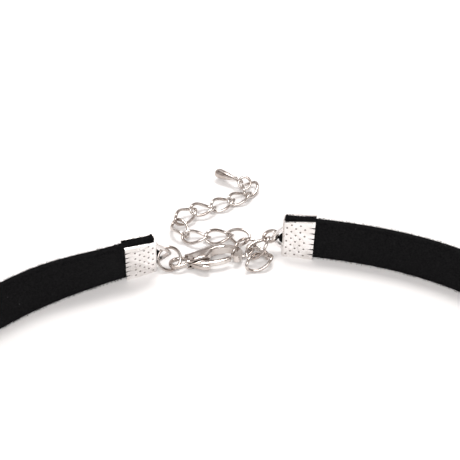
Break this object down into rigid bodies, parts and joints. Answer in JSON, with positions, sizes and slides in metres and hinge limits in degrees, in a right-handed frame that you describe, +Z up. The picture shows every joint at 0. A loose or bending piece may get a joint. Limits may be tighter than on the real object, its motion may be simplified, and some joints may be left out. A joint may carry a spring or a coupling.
{
  "type": "choker necklace",
  "caption": "Velvet ribbon choker lying closed, standing on its ribbon's edge, with toothed end crimps, a lobster clasp and an extender chain ending in a teardrop.",
  "frame": {"origin": "middle of the bounding box in plan, at the floor", "axes": "+Z up, the ribbon standing on its lower edge; -Y the front of the neck; +Y the clasp and the extender; +X the extender's side of the clasp"},
  "size_m": [0.125, 0.1206, 0.0106],
  "materials": {
    "velvet": "black velvet pile, matt",
    "metal": "bright silver-coloured plating, polished"
  },
  "bodies": {
    "necklace": {"velvet_ribbon": "velvet", "crimp_left": "metal", "crimp_right": "metal", "jump_ring": "metal", "clasp_body": "metal", "clasp_rivet": "metal", "small_ring": "metal", "link_01": "metal", "link_02": "metal", "link_03": "metal", "link_04": "metal", "link_05": "metal", "link_06": "metal", "link_07": "metal", "link_08": "metal", "link_09": "metal", "link_10": "metal", "link_11": "metal", "link_12": "metal", "link_13": "metal", "end_ring": "metal", "teardrop": "metal"},
    "clasp_lever": {"clasp_lever": "metal"}
  },
  "joints": [
    {"name": "lever_hinge", "type": "hinge", "parent": "necklace", "child": "clasp_lever", "pos_m": [-0.00697, 0.02794, 0.00154], "axis": [-0.0455, 0.0491, 0.9978], "range_deg": [0, 16], "stiffness_Nm_per_rad": 0.005, "springref_deg": -34.38}
  ]
}
